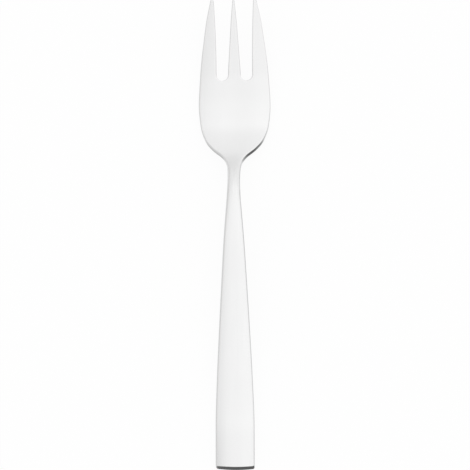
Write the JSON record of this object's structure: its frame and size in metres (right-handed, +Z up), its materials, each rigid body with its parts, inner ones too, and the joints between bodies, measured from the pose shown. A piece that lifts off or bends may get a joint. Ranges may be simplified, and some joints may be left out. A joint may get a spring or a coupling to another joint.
{
  "type": "pastry fork",
  "caption": "Slim pastry fork in polished steel: shallow bowl with tapering tines, narrow neck and a flared, square-ended handle.",
  "frame": {"origin": "on the table, under the middle of the fork's length and width", "axes": "+Y along the fork towards the tines, +Z up out of the hollow side of the bowl, +X to the right seen from the handle"},
  "size_m": [0.0218, 0.15, 0.0088],
  "materials": {
    "polished_steel": "mirror-polished stainless steel with faint polishing lines"
  },
  "bodies": {
    "root": {"left_tine": "polished_steel", "middle_tine": "polished_steel", "right_tine": "polished_steel", "bowl": "polished_steel", "neck": "polished_steel", "handle": "polished_steel"}
  },
  "joints": []
}
